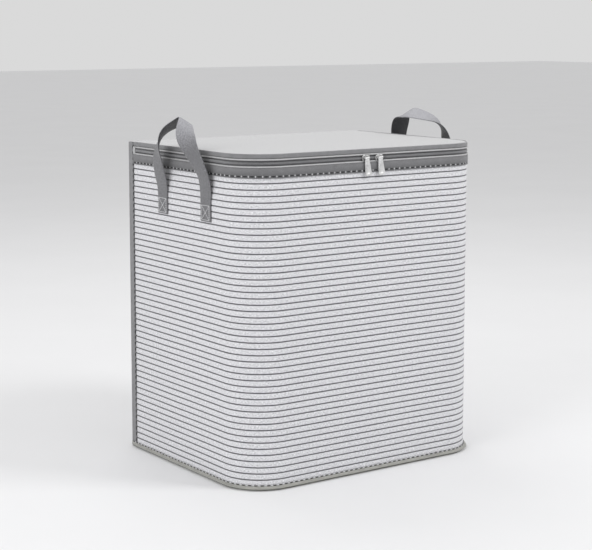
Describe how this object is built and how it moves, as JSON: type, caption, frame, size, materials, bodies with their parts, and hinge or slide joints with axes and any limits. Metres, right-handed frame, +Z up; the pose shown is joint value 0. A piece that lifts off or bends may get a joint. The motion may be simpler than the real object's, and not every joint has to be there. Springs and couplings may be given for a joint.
{
  "type": "fabric storage bin",
  "caption": "Tall stiffened fabric storage bin with rounded front corners, a zipped flip-over lid and two side webbing handles.",
  "frame": {"origin": "centre of the underside, on the floor plane", "axes": "+Z up; +X to the right along the front; the front with the zip sliders faces -Y and the lid's hinge side faces +Y"},
  "size_m": [0.5629, 0.3769, 0.5866],
  "materials": {
    "striped_fabric": "matte woven polyester, off-white with thin dark horizontal stripes",
    "lid_fabric": "matte fine textured woven, light grey",
    "grey_tape": "matte ribbed tape, mid grey",
    "base_tape": "matte binding tape, light grey",
    "piping": "smooth cord piping, pale grey",
    "zip_fabric": "matte herringbone zip tape, dark grey",
    "zip_coil": "nylon coil, dark grey",
    "webbing": "matte ribbed webbing, mid grey",
    "stiffener": "plain board",
    "lining": "thin smooth lining, pale grey",
    "metal": "polished zinc slider and pull"
  },
  "bodies": {
    "bin": {"base_fabric": "striped_fabric", "base_stiffener": "stiffener", "base_lining": "lining", "base_binding": "base_tape", "wall_fabric": "striped_fabric", "wall_stiffener": "stiffener", "wall_lining": "lining", "back_fabric": "striped_fabric", "back_stiffener": "stiffener", "back_lining": "lining", "back_binding_left": "grey_tape", "back_binding_right": "grey_tape", "top_band": "grey_tape", "piping_lower": "piping", "zip_tape_lower": "zip_fabric", "zip_coil_lower": "zip_coil", "zip_end_left": "piping", "zip_end_right": "piping", "hinge_tape": "lid_fabric", "handle_left_tab_rear": "webbing", "handle_left_tab_front": "webbing", "handle_right_tab_rear": "webbing", "handle_right_tab_front": "webbing"},
    "lid": {"lid_fabric": "lid_fabric", "lid_stiffener": "stiffener", "lid_lining": "lining", "lid_rim": "grey_tape", "piping_upper": "piping", "zip_tape_upper": "zip_fabric", "zip_coil_upper": "zip_coil"},
    "slider_left": {"slider_left": "metal", "slider_left_back": "metal"},
    "slider_right": {"slider_right": "metal", "slider_right_back": "metal"},
    "pull_left": {"pull_left": "metal"},
    "pull_right": {"pull_right": "metal"},
    "handle_left": {"handle_left_loop": "webbing"},
    "handle_right": {"handle_right_loop": "webbing"}
  },
  "joints": [
    {"name": "lid_hinge", "type": "hinge", "parent": "bin", "child": "lid", "pos_m": [0, 0.1843, 0.5335], "axis": [-1, 0, 0], "range_deg": [0, 265]},
    {"name": "slider_left_travel", "type": "slide", "parent": "bin", "child": "slider_left", "axis": [-1, 0, 0], "range_m": [0, 0.146]},
    {"name": "slider_right_travel", "type": "slide", "parent": "bin", "child": "slider_right", "axis": [1, 0, 0], "range_m": [0, 0.147]},
    {"name": "pull_left_swing", "type": "hinge", "parent": "slider_left", "child": "pull_left", "pos_m": [-0.014, -0.1871, 0.51825], "axis": [-1, 0, 0], "range_deg": [0, 170]},
    {"name": "pull_right_swing", "type": "hinge", "parent": "slider_right", "child": "pull_right", "pos_m": [0.013, -0.1871, 0.51825], "axis": [-1, 0, 0], "range_deg": [0, 170]},
    {"name": "handle_left_fold", "type": "hinge", "parent": "bin", "child": "handle_left", "pos_m": [-0.2429, 0.0025, 0.44815], "axis": [0, -1, 0], "range_deg": [0, 150]},
    {"name": "handle_right_fold", "type": "hinge", "parent": "bin", "child": "handle_right", "pos_m": [0.2429, 0.0025, 0.44815], "axis": [0, 1, 0], "range_deg": [0, 150]}
  ]
}
